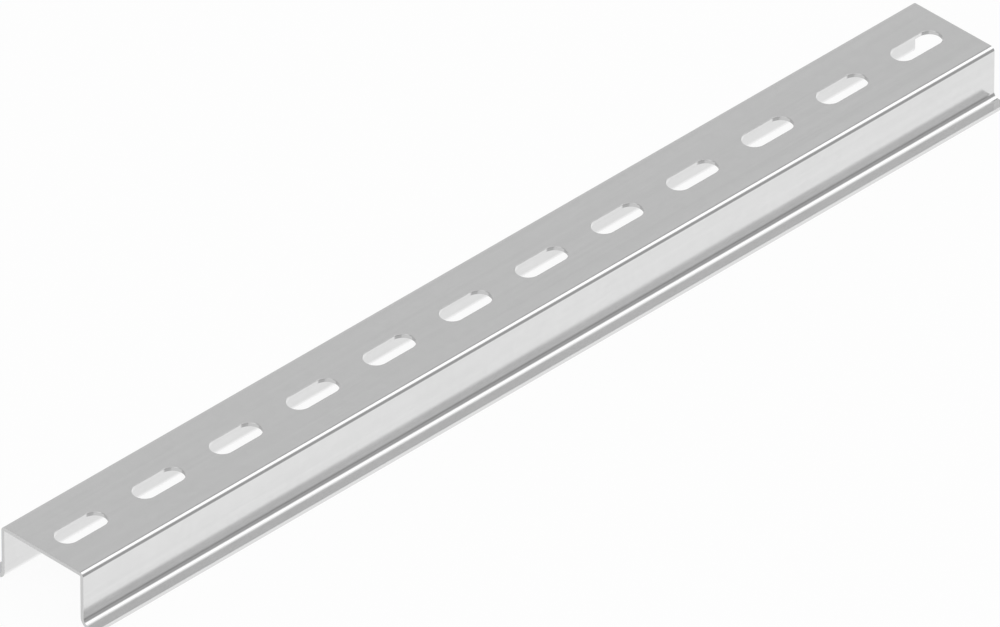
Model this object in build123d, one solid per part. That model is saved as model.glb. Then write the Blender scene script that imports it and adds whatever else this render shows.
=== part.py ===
from build123d import *
import os

# A 35 mm top-hat mounting rail, rolled from one slotted steel strip.
# X runs along the rail, Y across it and Z up. The rail stands on its two lips with its web
# on top. The origin is under the middle of the rail, level with the underside of the lips.

# Driving dimensions, in millimetres
rail_length = 300.0  # cut length
rail_height = 15.0  # underside of the lips to the web's outer face
web_width = 27.0  # over the outer faces of the two walls
lip_width = 4.0  # each lip, from the wall's outer face to the lip's edge
sheet = 1.0  # thickness of the strip

# Inside radii of the roll-formed bends
web_bend = 0.2  # web to wall
lip_bend = 1.4  # wall to lip

# The punched row along the middle of the web
slot_length = 15.0  # end to end
slot_width = 6.2
slot_pitch = 25.0
punch_roll = 0.12  # rounded rim that the punch leaves on the web's outer face


def strip_section():
    """The hat section: the strip's middle line, bent at four corners and given its thickness."""
    wall_line = (web_width - sheet) / 2
    lip_edge = web_width / 2 + lip_width
    lip_line = sheet / 2
    web_line = rail_height - sheet / 2
    web_radius = web_bend + sheet / 2
    lip_radius = lip_bend + sheet / 2
    with BuildSketch(Plane.YZ) as section:
        with BuildLine():
            FilletPolyline(
                (-lip_edge, lip_line),
                (-wall_line, lip_line),
                (-wall_line, web_line),
                (wall_line, web_line),
                (wall_line, lip_line),
                (lip_edge, lip_line),
                radius=[lip_radius, web_radius, web_radius, lip_radius],
            )
        trace(line_width=sheet)
    return section.sketch


def slot_row():
    """The slots, on the web's outer face, with half a pitch left at each end of the rail."""
    slot_count = int(rail_length // slot_pitch)
    with BuildSketch(Plane.XY.offset(rail_height)) as row:
        with GridLocations(slot_pitch, 0, slot_count, 1):
            SlotOverall(slot_length, slot_width)
    return row.sketch


def top_hat_rail():
    """The strip at its cut length, punched through the web, with the slots' outer rims rounded."""
    strip = extrude(strip_section(), amount=rail_length / 2, both=True)
    punches = extrude(slot_row(), amount=2 * sheet, both=True)
    rail = strip - punches
    web_face = rail.faces().sort_by(Axis.Z)[-1]
    return fillet(web_face.inner_wires().edges(), radius=punch_roll)


os.makedirs("parts", exist_ok=True)
export_step(top_hat_rail(), "parts/top_hat_rail.step")
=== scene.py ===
import math

import bmesh
import bpy
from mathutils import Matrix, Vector


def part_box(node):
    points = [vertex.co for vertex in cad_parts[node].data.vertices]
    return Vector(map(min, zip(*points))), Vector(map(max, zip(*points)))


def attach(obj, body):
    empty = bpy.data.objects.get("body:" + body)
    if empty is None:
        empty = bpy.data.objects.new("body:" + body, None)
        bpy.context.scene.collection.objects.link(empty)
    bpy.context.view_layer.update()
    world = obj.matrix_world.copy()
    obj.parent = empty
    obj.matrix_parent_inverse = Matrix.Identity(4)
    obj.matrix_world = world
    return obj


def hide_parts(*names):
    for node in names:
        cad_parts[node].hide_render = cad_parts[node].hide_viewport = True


# A slotted top-hat rail of galvanised steel: its visible strip, its finishes and a small studio,
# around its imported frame. Blender units are metres. X runs along the rail, Y across it and Z up.

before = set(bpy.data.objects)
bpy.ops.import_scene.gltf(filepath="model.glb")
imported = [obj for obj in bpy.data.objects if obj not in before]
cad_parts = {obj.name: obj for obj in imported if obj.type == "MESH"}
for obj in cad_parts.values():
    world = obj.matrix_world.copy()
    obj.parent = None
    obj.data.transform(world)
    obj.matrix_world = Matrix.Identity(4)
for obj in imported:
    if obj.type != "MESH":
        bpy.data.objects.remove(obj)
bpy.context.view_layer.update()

MM = 0.001
TINY = 0.001 * MM  # points nearer than this are one point

# The rail's sizes. Its length, overall width and height are the frame's own.
NODE = "top_hat_rail"
low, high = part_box(NODE)
LENGTH = high.x - low.x
LIP_EDGE = high.y
HEIGHT = high.z
SHEET = 1.0 * MM
WEB_HALF = 13.5 * MM  # middle of the web to the outer face of a wall
WEB_BEND = 0.2 * MM  # inside radius, web to wall
LIP_BEND = 1.4 * MM  # inside radius, wall to lip
SLOT_LENGTH = 15.0 * MM
SLOT_WIDTH = 6.2 * MM
SLOT_PITCH = 25.0 * MM
SLOT_COUNT = 12
PUNCH_ROLL = 0.12 * MM  # rounded rim on the side that the punch entered
EDGE_BREAK = 0.05 * MM  # the cut edges of the ends and the lips

# Worked out from them
SLOT_ROUND = SLOT_WIDTH / 2
SLOT_STRAIGHT = SLOT_LENGTH - SLOT_WIDTH
FIRST_SLOT = -(SLOT_COUNT - 1) / 2 * SLOT_PITCH
WEB_OUTER_BEND = WEB_BEND + SHEET
WEB_FLAT_HALF = WEB_HALF - WEB_OUTER_BEND
WALL_FOOT = SHEET + LIP_BEND  # the height where a wall starts to turn out into its lip

# How finely the round stretches are divided
SLOT_CORNER_STEPS = 16
BEND_STEPS = 16
ROLL_STEPS = 4
BREAK_STEPS = 2

# How the mesh is worked
HOLD = 0.25 * MM  # a narrow band beside each bend and rim keeps the flats flat
CELL_SPREAD = 2.0  # the slot's rim is first made this much larger, then squared up
RIM_REACH = 0.01 * MM  # a point nearer than this to a slot's outline is on it
CUT_TURN = math.radians(60)  # an edge that turns by more was left by a cut
ROUND_TURN = math.radians(35)  # faces that turn by less are shaded as one round


# Handling the mesh

def deselect_all():
    bpy.ops.object.select_all(action="DESELECT")


def start_editing(piece, kind):
    bpy.context.view_layer.objects.active = piece
    bpy.ops.object.mode_set(mode="EDIT")
    bpy.ops.mesh.select_mode(type=kind)


def stop_editing():
    bpy.ops.object.mode_set(mode="OBJECT")


def select_only(piece, find):
    """Selects the vertices or edges that find lists from the piece's mesh, and nothing else."""
    bpy.ops.mesh.select_all(action="DESELECT")
    mesh = bmesh.from_edit_mesh(piece.data)
    for part in find(mesh):
        part.select_set(True)
    bmesh.update_edit_mesh(piece.data)


def ends_pass(edge, test):
    return test(edge.verts[0].co) and test(edge.verts[1].co)


def pick_points(piece, test):
    """Selects the vertices whose place passes the test."""
    select_only(piece, lambda mesh: [point for point in mesh.verts if test(point.co)])


def pick_edges(piece, test):
    """Selects the edges whose two ends pass the test."""
    select_only(piece, lambda mesh: [edge for edge in mesh.edges if ends_pass(edge, test)])


def pick_cut_edges(piece, test):
    """Selects the edges that turn as sharply as a cut leaves them, and whose two ends pass the test."""
    select_only(
        piece,
        lambda mesh: [
            edge for edge in mesh.edges if edge.calc_face_angle(0) > CUT_TURN and ends_pass(edge, test)
        ],
    )


def extrude_edges(step):
    bpy.ops.mesh.extrude_edges_move(TRANSFORM_OT_translate={"value": step})


def apply_modifier(piece, modifier):
    bpy.context.view_layer.objects.active = piece
    bpy.ops.object.modifier_apply(modifier=modifier.name)


# The strip

def slot_outline():
    """The rim of the first slot: a rectangle whose corners are rounded until its ends are half circles."""
    deselect_all()
    bpy.ops.mesh.primitive_plane_add(size=1, location=(FIRST_SLOT, 0, HEIGHT))
    strip = bpy.context.object
    strip.name = "rail_strip"
    strip.scale = (SLOT_LENGTH, SLOT_WIDTH, 1)
    bpy.ops.object.transform_apply(location=True, rotation=True, scale=True)
    start_editing(strip, "VERT")
    bpy.ops.mesh.select_all(action="SELECT")
    bpy.ops.mesh.bevel(offset=SLOT_ROUND, segments=SLOT_CORNER_STEPS, affect="VERTICES")
    bpy.ops.mesh.select_all(action="SELECT")
    bpy.ops.mesh.remove_doubles(threshold=TINY)
    bpy.ops.mesh.delete(type="ONLY_FACE")
    stop_editing()
    return strip


def square_up_cell(strip):
    """One pitch of the flat web: the slot's rim is extruded outwards and squared to the cell's edges."""
    centre = Vector((FIRST_SLOT, 0, HEIGHT))
    half_pitch = SLOT_PITCH / 2
    half_width = WEB_FLAT_HALF - HOLD
    start_editing(strip, "EDGE")
    bpy.ops.mesh.select_all(action="SELECT")
    extrude_edges((0, 0, 0))
    hold_x = (SLOT_LENGTH + 2 * HOLD) / SLOT_LENGTH
    hold_y = (SLOT_WIDTH + 2 * HOLD) / SLOT_WIDTH
    bpy.ops.transform.resize(value=(hold_x, hold_y, 1), center_override=centre)
    extrude_edges((0, 0, 0))
    bpy.ops.transform.resize(value=(CELL_SPREAD, CELL_SPREAD, 1), center_override=centre)

    # The points half way round the slot's quarter circles become the cell's corners.
    corner_reach = SLOT_ROUND * math.sqrt(0.5)
    corner_x = CELL_SPREAD * hold_x * (SLOT_STRAIGHT / 2 + corner_reach)
    corner_y = CELL_SPREAD * hold_y * corner_reach
    bpy.ops.mesh.select_mode(type="VERT")
    for side in (-1, 1):
        pick_points(strip, lambda co: side * co.y > corner_y - TINY)
        edge_middle = centre + Vector((0, side * half_width, 0))
        bpy.ops.transform.resize(value=(half_pitch / corner_x, 0, 1), center_override=edge_middle)
    for side in (-1, 1):
        pick_points(
            strip,
            lambda co: side * (co.x - centre.x) > corner_x - TINY and abs(co.y) < corner_y - TINY,
        )
        edge_middle = centre + Vector((side * half_pitch, 0, 0))
        bpy.ops.transform.resize(value=(0, half_width / corner_y, 1), center_override=edge_middle)
    stop_editing()


def repeat_cell(strip):
    row = strip.modifiers.new("row", "ARRAY")
    row.count = SLOT_COUNT
    row.use_relative_offset = False
    row.use_constant_offset = True
    row.constant_offset_displace = (SLOT_PITCH, 0, 0)
    row.use_merge_vertices = True
    row.merge_threshold = TINY
    apply_modifier(strip, row)


def roll_side(strip, side):
    """Forms one wall and its lip from the web's long edge, bend by bend."""
    wall_top = HEIGHT - WEB_OUTER_BEND
    lip_start = WEB_HALF + LIP_BEND
    quarter = math.radians(90)
    start_editing(strip, "EDGE")
    pick_edges(strip, lambda co: abs(side * co.y - (WEB_FLAT_HALF - HOLD)) < TINY)
    extrude_edges((0, side * HOLD, 0))
    bpy.ops.mesh.spin(
        steps=BEND_STEPS, angle=quarter, center=(0, side * WEB_FLAT_HALF, wall_top), axis=(side, 0, 0)
    )
    extrude_edges((0, 0, -HOLD))
    extrude_edges((0, 0, -(wall_top - WALL_FOOT - 2 * HOLD)))
    extrude_edges((0, 0, -HOLD))
    bpy.ops.mesh.spin(
        steps=BEND_STEPS, angle=quarter, center=(0, side * lip_start, WALL_FOOT), axis=(-side, 0, 0)
    )
    extrude_edges((0, side * HOLD, 0))
    extrude_edges((0, side * (LIP_EDGE - lip_start - HOLD), 0))
    stop_editing()


def face_outwards(strip):
    """Merges what the bends left double and points the faces away from the inside of the hat."""
    start_editing(strip, "FACE")
    bpy.ops.mesh.select_all(action="SELECT")
    bpy.ops.mesh.remove_doubles(threshold=TINY)
    bpy.ops.mesh.normals_make_consistent(inside=False)
    mesh = bmesh.from_edit_mesh(strip.data)
    web_face = max(mesh.faces, key=lambda face: face.calc_center_median().z)
    if web_face.normal.z < 0:
        bpy.ops.mesh.flip_normals()
    stop_editing()


def give_thickness(strip):
    wall = strip.modifiers.new("sheet", "SOLIDIFY")
    wall.thickness = SHEET
    wall.offset = -1
    wall.use_even_offset = True
    wall.use_quality_normals = True
    apply_modifier(strip, wall)


def on_slot_rim(co):
    """Whether a point lies on the outline of a slot, seen from above."""
    from_first = (co.x - FIRST_SLOT) / SLOT_PITCH
    along = abs(from_first - round(from_first)) * SLOT_PITCH
    past_straight = max(0, along - SLOT_STRAIGHT / 2)
    return abs(math.hypot(past_straight, co.y) - SLOT_ROUND) < RIM_REACH


def break_edges(strip):
    """Rounds the slots' outer rims as the punch does, and takes the sharpness off the ends and the lips."""
    start_editing(strip, "EDGE")
    pick_edges(strip, lambda co: HEIGHT - co.z < TINY and on_slot_rim(co))
    bpy.ops.mesh.bevel(offset=PUNCH_ROLL, segments=ROLL_STEPS, affect="EDGES")
    pick_cut_edges(strip, lambda co: not on_slot_rim(co))
    bpy.ops.mesh.bevel(offset=EDGE_BREAK, segments=BREAK_STEPS, affect="EDGES")
    stop_editing()


def resize_strip(strip, factor):
    strip.scale = (factor, factor, factor)
    bpy.ops.object.transform_apply(location=True, rotation=True, scale=True)


def smooth_bends(strip):
    """Shades the bends and rims smooth and keeps the flats flat.

    The modifier can't tell faces apart that are as small as these are in metres, so it works on the
    strip in millimetres.
    """
    deselect_all()
    strip.select_set(True)
    bpy.context.view_layer.objects.active = strip
    bpy.ops.object.shade_smooth_by_angle(angle=ROUND_TURN)
    resize_strip(strip, 1 / MM)
    flats = strip.modifiers.new("flats", "WEIGHTED_NORMAL")
    flats.keep_sharp = True
    flats.weight = 100
    apply_modifier(strip, flats)
    resize_strip(strip, MM)


def roll_form_rail():
    strip = slot_outline()
    square_up_cell(strip)
    repeat_cell(strip)
    roll_side(strip, -1)
    roll_side(strip, 1)
    face_outwards(strip)
    give_thickness(strip)
    break_edges(strip)
    smooth_bends(strip)
    return strip


# Fields over the steel

NOISE_SPAN = (0.3, 0.7)  # most of a noise field lies between these


def add_node(tree, kind, **settings):
    node = tree.nodes.new(kind)
    for name, value in settings.items():
        setattr(node, name, value)
    return node


def coordinate(tree, axis):
    place = add_node(tree, "ShaderNodeTexCoord")
    axes = add_node(tree, "ShaderNodeSeparateXYZ")
    tree.links.new(place.outputs["Object"], axes.inputs["Vector"])
    return axes.outputs[axis]


def noise_field(tree, stretch, detail=3.0, turn=0.0):
    """Noise on the rail's own coordinates. stretch is how often it changes along X, Y and Z in a metre."""
    place = add_node(tree, "ShaderNodeTexCoord")
    scale = add_node(tree, "ShaderNodeMapping")
    scale.inputs["Rotation"].default_value = (0, 0, turn)
    scale.inputs["Scale"].default_value = stretch
    noise = add_node(tree, "ShaderNodeTexNoise")
    noise.inputs["Scale"].default_value = 1
    noise.inputs["Detail"].default_value = detail
    tree.links.new(place.outputs["Object"], scale.inputs["Vector"])
    tree.links.new(scale.outputs["Vector"], noise.inputs["Vector"])
    return noise.outputs["Fac"]


def spangle_field(tree, across):
    """Zinc crystals of this size, each with its own tone from 0 to 1."""
    place = add_node(tree, "ShaderNodeTexCoord")
    crystals = add_node(tree, "ShaderNodeTexVoronoi")
    crystals.inputs["Scale"].default_value = 1 / across
    tone = add_node(tree, "ShaderNodeSeparateColor")
    tree.links.new(place.outputs["Object"], crystals.inputs["Vector"])
    tree.links.new(crystals.outputs["Color"], tone.inputs["Color"])
    return tone.outputs["Red"]


def spread_to(tree, field, to, of=NOISE_SPAN):
    """Maps a field from the span of to the span to, and holds it at their ends."""
    spread = add_node(tree, "ShaderNodeMapRange")
    spread.inputs["From Min"].default_value = of[0]
    spread.inputs["From Max"].default_value = of[1]
    spread.inputs["To Min"].default_value = to[0]
    spread.inputs["To Max"].default_value = to[1]
    tree.links.new(field, spread.inputs["Value"])
    return spread.outputs["Result"]


def combine(tree, kind, first, second):
    """Two fields, or a field and a number, put together by one sum."""
    sum_node = add_node(tree, "ShaderNodeMath", operation=kind)
    for socket, value in zip(sum_node.inputs, (first, second)):
        if isinstance(value, float):
            socket.default_value = value
        else:
            tree.links.new(value, socket)
    return sum_node.outputs["Value"]


def add_up(tree, *fields):
    total = fields[0]
    for field in fields[1:]:
        total = combine(tree, "ADD", total, field)
    return total


# Where the tools rubbed and tore the steel, and where light and shade are painted into its tone

PAINTED_FOOT_SIDES = (WEB_HALF - 0.3 * SHEET, WEB_HALF - 0.1 * SHEET)  # across a wall, from the side with the painted highlight to the plain side
PAINTED_FOOT_FADE = (0.4 * WALL_FOOT, WALL_FOOT)  # the heights between which the painted highlight at the foot fades out
END_START = 0.1 * MM  # this far past its straight sides, a slot's wall starts to get painted shade
END_FULL = 0.7 * MM  # and this far past them the painted shade is full
TEAR_DEPTH = (0.4 * SHEET, 0.55 * SHEET)  # down a cut, where the sheet starts to tear and where all is torn
TEAR_WANDER = 0.12 * SHEET  # how far these depths wander up and down


def bend_rub(tree):
    """1 along the two bends of the web, where the forming rolls press hardest, and 0 on the flats."""
    out = combine(tree, "ABSOLUTE", coordinate(tree, "Y"), 0.0)
    near_side = spread_to(tree, out, to=(0.0, 1.0), of=(WEB_FLAT_HALF - HOLD, WEB_HALF))
    top_bend = (HEIGHT - 2 * WEB_OUTER_BEND, HEIGHT)
    near_top = spread_to(tree, coordinate(tree, "Z"), to=(0.0, 1.0), of=top_bend)
    return combine(tree, "MULTIPLY", near_side, near_top)


def painted_foot_highlight(tree):
    """1 along the inside foot of each wall, where it turns out into the lip, and 0 elsewhere: where the zinc
    gets a painted highlight, a painted reflection of the white floor.
    """
    out = combine(tree, "ABSOLUTE", coordinate(tree, "Y"), 0.0)
    inside = spread_to(tree, out, to=(1.0, 0.0), of=PAINTED_FOOT_SIDES)
    near_foot = spread_to(tree, coordinate(tree, "Z"), to=(1.0, 0.0), of=PAINTED_FOOT_FADE)
    return combine(tree, "MULTIPLY", inside, near_foot)


def slot_end_shade(tree):
    """1 round the end of every slot that points along +X, and 0 on the rest of its wall: where the slot's
    wall gets painted shade.
    """
    from_rail_end = combine(tree, "SUBTRACT", coordinate(tree, "X"), FIRST_SLOT - SLOT_PITCH / 2)
    in_cell = combine(tree, "MODULO", from_rail_end, SLOT_PITCH)
    straight_end = (SLOT_PITCH + SLOT_STRAIGHT) / 2
    rise = (straight_end + END_START, straight_end + END_FULL)
    return spread_to(tree, in_cell, to=(0.0, 1.0), of=rise)


def torn_share(tree):
    """0 in the upper part of a cut, which the punch drew bright, and 1 below, where the sheet tore."""
    depth = combine(tree, "SUBTRACT", HEIGHT, coordinate(tree, "Z"))
    wander = spread_to(tree, noise_field(tree, stretch=(700, 700, 0)), to=(-TEAR_WANDER, TEAR_WANDER))
    return spread_to(tree, combine(tree, "ADD", depth, wander), to=(0.0, 1.0), of=TEAR_DEPTH)


# The four finishes

def new_steel(name):
    material = bpy.data.materials.new(name)
    material.use_nodes = True
    shader = material.node_tree.nodes["Principled BSDF"]
    shader.inputs["Metallic"].default_value = 1
    return material, material.node_tree, shader


def finish_steel(tree, shader, tone, roughness, relief, depth):
    """Gives the steel its grey tone and roughness, and a fine relief of this depth."""
    colour = add_node(tree, "ShaderNodeCombineColor")
    for channel in ("Red", "Green", "Blue"):
        tree.links.new(tone, colour.inputs[channel])
    bump = add_node(tree, "ShaderNodeBump")
    bump.inputs["Strength"].default_value = 1
    bump.inputs["Distance"].default_value = depth
    tree.links.new(relief, bump.inputs["Height"])
    tree.links.new(colour.outputs["Color"], shader.inputs["Base Color"])
    tree.links.new(roughness, shader.inputs["Roughness"])
    tree.links.new(bump.outputs["Normal"], shader.inputs["Normal"])


def rolled_zinc():
    """The strip's galvanised skin: pale and satin, with faint rolling lines, spangle, handling scuffs and a
    painted highlight along the inside foot of each wall.
    """
    material, tree, shader = new_steel("rolled_zinc")
    fine_lines = noise_field(tree, stretch=(25, 5000, 5000), detail=4.0)
    broad_lines = noise_field(tree, stretch=(6, 700, 700), detail=2.0)
    bloom = noise_field(tree, stretch=(90, 90, 90), detail=5.0)
    spangle = spangle_field(tree, across=2.2 * MM)
    slanting_lines = noise_field(tree, stretch=(60, 2600, 900), detail=2.0, turn=math.radians(7))
    scuffs = spread_to(tree, slanting_lines, to=(0.0, 1.0), of=(0.66, 0.74))
    tone = add_up(
        tree,
        spread_to(tree, bloom, to=(0.722, 0.740)),
        spread_to(tree, broad_lines, to=(-0.010, 0.010)),
        spread_to(tree, spangle, to=(-0.006, 0.006), of=(0.0, 1.0)),
        combine(tree, "MULTIPLY", scuffs, 0.02),
        # painted highlight: the inside foot of each wall is lightened, a painted reflection of the white
        # floor
        combine(tree, "MULTIPLY", painted_foot_highlight(tree), 0.22),
    )
    roughness = add_up(
        tree,
        spread_to(tree, fine_lines, to=(0.145, 0.185)),
        spread_to(tree, bloom, to=(-0.015, 0.015)),
        combine(tree, "MULTIPLY", scuffs, 0.05),
        combine(tree, "MULTIPLY", bend_rub(tree), -0.04),
    )
    finish_steel(tree, shader, tone, roughness, relief=fine_lines, depth=0.0006 * MM)
    return material


def punched_slot():
    """The wall of a slot: bright where the punch went in, torn below, with painted shade and less roughness
    round its end that points along +X.
    """
    material, tree, shader = new_steel("punched_slot")
    drag_lines = noise_field(tree, stretch=(6000, 6000, 300))
    end_shade_and_polish = slot_end_shade(tree)
    tone = add_up(
        tree,
        spread_to(tree, drag_lines, to=(0.755, 0.785)),
        # painted shade: the slot's wall is darkened round its end that points along +X
        combine(tree, "MULTIPLY", end_shade_and_polish, -0.22),
    )
    roughness = add_up(
        tree,
        spread_to(tree, drag_lines, to=(0.15, 0.21)),
        combine(tree, "MULTIPLY", torn_share(tree), 0.04),
        combine(tree, "MULTIPLY", end_shade_and_polish, -0.08),
    )
    finish_steel(tree, shader, tone, roughness, relief=drag_lines, depth=0.0006 * MM)
    return material


def slit_edge():
    """The edge of a lip, slit from the coil: bright, with fine lines along the rail."""
    material, tree, shader = new_steel("slit_edge")
    slit_lines = noise_field(tree, stretch=(60, 6000, 6000))
    tone = spread_to(tree, slit_lines, to=(0.735, 0.765))
    roughness = spread_to(tree, slit_lines, to=(0.18, 0.26))
    finish_steel(tree, shader, tone, roughness, relief=slit_lines, depth=0.0008 * MM)
    return material


def sheared_end():
    """The cut across the rail's end: duller steel with the shear's fine vertical lines."""
    material, tree, shader = new_steel("sheared_end")
    shear_lines = noise_field(tree, stretch=(500, 9000, 600))
    tone = spread_to(tree, shear_lines, to=(0.585, 0.645))
    roughness = spread_to(tree, shear_lines, to=(0.34, 0.46))
    finish_steel(tree, shader, tone, roughness, relief=shear_lines, depth=0.002 * MM)
    return material


def paint_rail(strip):
    """Puts the zinc all over, and the cut finishes on the faces that the tools left."""
    for material in (rolled_zinc(), punched_slot(), slit_edge(), sheared_end()):
        strip.data.materials.append(material)
    zinc, punched, slit, sheared = range(4)
    edge_depth = 1.5 * EDGE_BREAK  # a cut and its broken edge lie within this of the rail's outside
    faces_it = 0.5  # a face looks along an axis when its normal has more than this along it
    for face in strip.data.polygons:
        centre, normal = face.center, face.normal
        if LENGTH / 2 - abs(centre.x) < edge_depth and abs(normal.x) > faces_it:
            face.material_index = sheared
        elif LIP_EDGE - abs(centre.y) < edge_depth and abs(normal.y) > faces_it:
            face.material_index = slit
        elif abs(centre.y) < SLOT_WIDTH and abs(normal.z) < faces_it:
            face.material_index = punched
        else:
            face.material_index = zinc


# Studio

CARD_DISTANCE = 1.6  # from the rail to the long edges of the cards
STUDIO_HALF = 4.5  # half the studio's length
GAP_HALF = 0.55  # half the gap between the two softboxes
SOFTBOX_LIGHT = 1.46


def empty_material(name):
    """A material with nothing in it but its output."""
    material = bpy.data.materials.new(name)
    material.use_nodes = True
    tree = material.node_tree
    tree.nodes.clear()
    return material, tree, add_node(tree, "ShaderNodeOutputMaterial")


def glowing(name, level):
    """A plain card that gives off an even light of this level, where 1 is white."""
    material, tree, output = empty_material(name)
    light = add_node(tree, "ShaderNodeEmission")
    light.inputs["Color"].default_value = (level, level, level, 1)
    tree.links.new(light.outputs["Emission"], output.inputs["Surface"])
    return material


def hang_card(sheet, name, level):
    bpy.ops.object.transform_apply(location=True, rotation=True, scale=True)
    sheet.name = name
    sheet.data.materials.append(glowing(name, level))
    sheet.visible_camera = False


def long_card(name, from_angle, to_angle, level, from_x=-STUDIO_HALF, to_x=STUDIO_HALF):
    """A card parallel to the rail. Its long edges stand at two angles round the rail, counted up from +Y."""
    edges = [
        CARD_DISTANCE * Vector((0, math.cos(math.radians(a)), math.sin(math.radians(a))))
        for a in (from_angle, to_angle)
    ]
    across = edges[1] - edges[0]
    middle = (edges[0] + edges[1]) / 2 + Vector(((from_x + to_x) / 2, 0, 0))
    deselect_all()
    bpy.ops.mesh.primitive_plane_add(size=1, location=middle)
    sheet = bpy.context.object
    sheet.scale = (to_x - from_x, across.length, 1)
    sheet.rotation_euler.x = math.atan2(across.z, across.y)
    hang_card(sheet, name, level)


def end_card(name, side, level):
    """A card across one end of the studio."""
    deselect_all()
    bpy.ops.mesh.primitive_plane_add(size=1, location=(side * STUDIO_HALF, 0, CARD_DISTANCE / 2))
    sheet = bpy.context.object
    sheet.scale = (CARD_DISTANCE, 2 * CARD_DISTANCE, 1)
    sheet.rotation_euler.y = math.radians(90)
    hang_card(sheet, name, level)


def studio_cards():
    """Pale behind the rail, a dark valance above that, softboxes overhead and a grey card in front."""
    long_card("back_card", 0, 50, level=0.70)
    long_card("valance", 50, 74, level=0.40)
    long_card("softbox_left", 74, 128, level=SOFTBOX_LIGHT, to_x=-GAP_HALF)
    long_card("softbox_gap", 74, 128, level=0.85, from_x=-GAP_HALF, to_x=GAP_HALF)
    long_card("softbox_right", 74, 128, level=SOFTBOX_LIGHT, from_x=GAP_HALF)
    long_card("softbox_skirt", 128, 141, level=0.81)
    long_card("front_card", 141, 166, level=0.41)
    long_card("front_foot", 166, 180, level=0.465)
    end_card("end_card_left", -1, level=0.68)
    end_card("end_card_right", 1, level=0.42)


FLOOR_SIZE = 12.0
FLOOR_GREY = 0.9  # the floor's own colour, where it shows real light and shade
SHADE_SHARE = 0.06  # how much of the floor near the rail is real light and shade
SHADE_END = 0.5  # from here on the floor is as white as the room
SHALLOW = (0.70, 0.80)  # Layer Weight's Facing where the floor starts to mirror, and where it only mirrors
MIRROR_ROUGHNESS = 0.02


def plain_white_share(tree, path):
    """How much of the floor is plain white: nearly all to the camera, and all of it in the steel."""
    in_steel = combine(tree, "MAXIMUM", path.outputs["Is Glossy Ray"], path.outputs["Is Transmission Ray"])
    place = add_node(tree, "ShaderNodeTexCoord")
    distance = add_node(tree, "ShaderNodeVectorMath", operation="LENGTH")
    tree.links.new(place.outputs["Object"], distance.inputs[0])
    shade_reach = (SHADE_END - LENGTH, SHADE_END)
    even = spread_to(tree, distance.outputs["Value"], to=(1 - SHADE_SHARE, 1.0), of=shade_reach)
    to_camera = combine(tree, "MULTIPLY", path.outputs["Is Camera Ray"], even)
    return combine(tree, "MAXIMUM", to_camera, in_steel)


def mirror_share(tree, path):
    """1 where the steel sees the floor at a shallow angle."""
    weight = add_node(tree, "ShaderNodeLayerWeight")
    weight.inputs["Blend"].default_value = 0.5
    shallow = spread_to(tree, weight.outputs["Facing"], to=(0.0, 1.0), of=SHALLOW)
    return combine(tree, "MULTIPLY", path.outputs["Is Glossy Ray"], shallow)


def mix_of(tree, share, first, second):
    """Two shaders mixed, where a share of 1 is all of the second."""
    mixed = add_node(tree, "ShaderNodeMixShader")
    tree.links.new(share, mixed.inputs["Fac"])
    tree.links.new(first, mixed.inputs[1])
    tree.links.new(second, mixed.inputs[2])
    return mixed.outputs["Shader"]


def floor_white():
    """White to the camera, but for a soft share of real shade near the rail, and all white in the steel.

    Seen in the steel at a shallow angle, it mirrors the cards.
    """
    material, tree, output = empty_material("floor_white")
    path = add_node(tree, "ShaderNodeLightPath")
    matt = add_node(tree, "ShaderNodeBsdfDiffuse")
    matt.inputs["Color"].default_value = (FLOOR_GREY, FLOOR_GREY, FLOOR_GREY, 1)
    white = add_node(tree, "ShaderNodeEmission")
    polish = add_node(tree, "ShaderNodeBsdfGlossy")
    polish.inputs["Roughness"].default_value = MIRROR_ROUGHNESS
    shaded = mix_of(tree, plain_white_share(tree, path), matt.outputs["BSDF"], white.outputs["Emission"])
    polished = mix_of(tree, mirror_share(tree, path), shaded, polish.outputs["BSDF"])
    tree.links.new(polished, output.inputs["Surface"])
    return material


def white_floor():
    deselect_all()
    bpy.ops.mesh.primitive_plane_add(size=FLOOR_SIZE, location=(0, 0, 0))
    floor = bpy.context.object
    floor.name = "floor"
    floor.data.materials.append(floor_white())


def white_world():
    world = bpy.data.worlds.new("white_room")
    world.use_nodes = True
    background = world.node_tree.nodes["Background"]
    background.inputs["Color"].default_value = (1, 1, 1, 1)
    background.inputs["Strength"].default_value = 1
    bpy.context.scene.world = world


# The photograph is an isometric view, so a very long lens looks along a cube's diagonal.
CAMERA_LENS = 1050.0
CAMERA_DISTANCE = 6.778
CAMERA_AIM = Vector((-9.05, -7.84, 15.0)) * MM


def isometric_camera():
    back = Vector((-1, -1, 1)).normalized()
    data = bpy.data.cameras.new("camera")
    data.lens = CAMERA_LENS
    data.clip_end = 2 * CAMERA_DISTANCE
    camera = bpy.data.objects.new("camera", data)
    camera.location = CAMERA_AIM + back * CAMERA_DISTANCE
    camera.rotation_euler = (-back).to_track_quat("-Z", "Y").to_euler()
    bpy.context.scene.collection.objects.link(camera)
    bpy.context.scene.camera = camera


rail = roll_form_rail()
paint_rail(rail)
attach(rail, "root")
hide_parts(NODE)

white_floor()
studio_cards()
white_world()
isometric_camera()
bpy.context.scene.view_settings.view_transform = "Standard"
